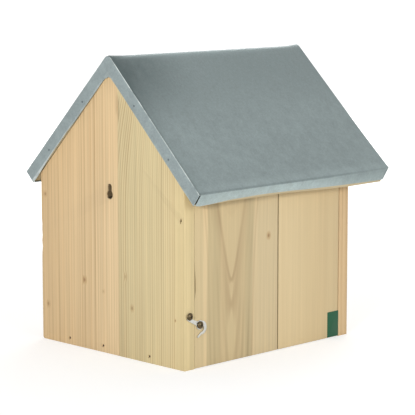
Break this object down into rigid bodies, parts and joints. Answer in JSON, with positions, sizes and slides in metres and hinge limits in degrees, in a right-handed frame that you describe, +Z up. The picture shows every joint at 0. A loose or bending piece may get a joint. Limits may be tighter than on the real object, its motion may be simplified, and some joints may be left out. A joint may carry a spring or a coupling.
{
  "type": "squirrel house",
  "caption": "Pitched-roof wooden squirrel house with a folded metal roof, round front entrance, keyhole hanger and a hooked side door that swings out and up.",
  "frame": {"origin": "middle of the house's underside, on the floor boards' lower face", "axes": "+Z up; -Y towards the front panel with the round entrance; +Y towards the back panel with the keyhole; -X towards the side door; +X towards the fixed side wall"},
  "size_m": [0.3, 0.3294, 0.3518],
  "materials": {
    "pine_boards": "planed, bare",
    "door_boards": "planed, bare",
    "galvanised_sheet": "matte galvanised",
    "nail_steel": "satin",
    "plated_steel": "bright zinc plated",
    "green_label": "matte"
  },
  "bodies": {
    "house": {"back_board_wide": "pine_boards", "back_board_narrow": "pine_boards", "front_board_wide": "pine_boards", "front_board_narrow": "pine_boards", "wall_board_rear": "pine_boards", "wall_board_front": "pine_boards", "floor_board_rear": "pine_boards", "floor_board_front": "pine_boards", "roof_board_upper_wall_side": "pine_boards", "roof_board_lower_wall_side": "pine_boards", "roof_board_upper_door_side": "pine_boards", "roof_board_lower_door_side": "pine_boards", "roof_sheet": "galvanised_sheet", "back_panel_nails": "nail_steel", "front_panel_nails": "nail_steel", "wall_nails": "nail_steel", "roof_board_nails": "nail_steel", "roof_sheet_nails": "nail_steel", "pivot_nail_back": "nail_steel", "pivot_nail_front": "nail_steel", "stud_screw": "plated_steel"},
    "door": {"door_board_rear": "door_boards", "door_board_front": "door_boards", "door_batten_lower": "pine_boards", "door_batten_upper": "pine_boards", "door_batten_nails": "nail_steel", "hook_screw": "plated_steel", "door_label": "green_label"},
    "hook": {"latch_hook": "plated_steel"}
  },
  "joints": [
    {"name": "door_swing", "type": "hinge", "parent": "house", "child": "door", "pos_m": [-0.116, 0, 0.171], "axis": [0, 1, 0], "range_deg": [0, 105]},
    {"name": "hook_turn", "type": "hinge", "parent": "door", "child": "hook", "pos_m": [-0.125, 0.1169, 0.0505], "axis": [-1, 0, 0], "range_deg": [0, 150]}
  ]
}
